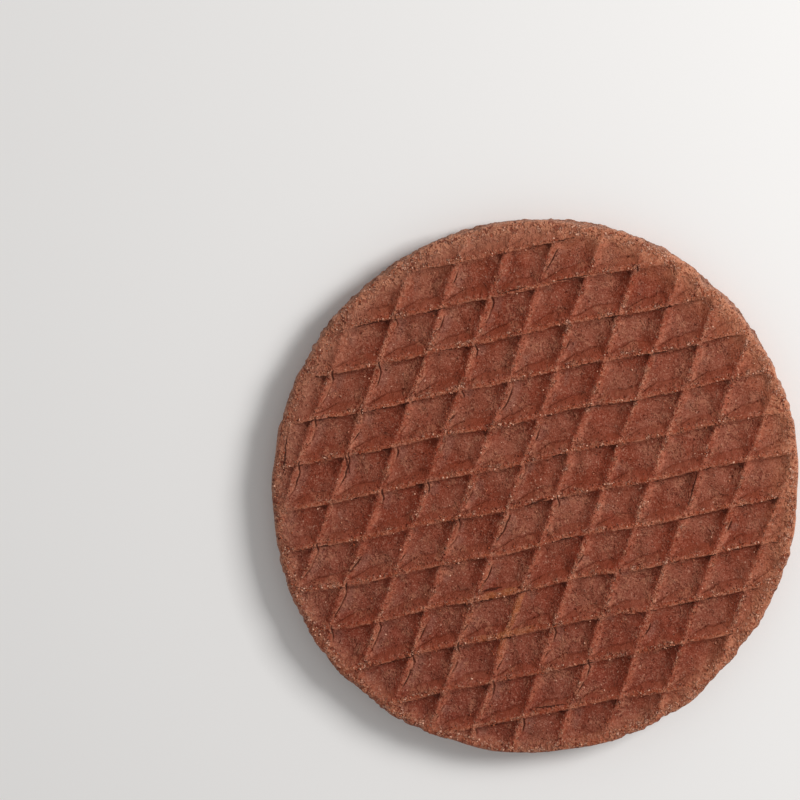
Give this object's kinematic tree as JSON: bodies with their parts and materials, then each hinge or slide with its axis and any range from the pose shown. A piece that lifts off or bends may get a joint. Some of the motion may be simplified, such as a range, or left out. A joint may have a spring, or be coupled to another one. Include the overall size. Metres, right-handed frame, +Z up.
{
  "type": "chocolate stroopwafel",
  "caption": "Round thin cocoa waffle cookie with a slanting diamond grid: two baked wafers stuck together by a layer of caramel syrup.",
  "frame": {"origin": "centre of the underside, on the level of the lower rib crests the waffle rests on", "axes": "+Z up through the thickness, from the lower wafer to the upper; +X and +Y in the plane of the waffle, with the steeper ribs of the grid 71 degrees and the shallower ribs 11.5 degrees from +X"},
  "size_m": [0.0954, 0.0973, 0.0072],
  "materials": {
    "wafer": "baked cocoa dough, matte reddish brown, crumbly along the rib crests",
    "syrup": "set caramel syrup, glossy amber brown"
  },
  "bodies": {
    "root": {"wafer_upper": "wafer", "syrup": "syrup", "wafer_lower": "wafer"}
  },
  "joints": []
}
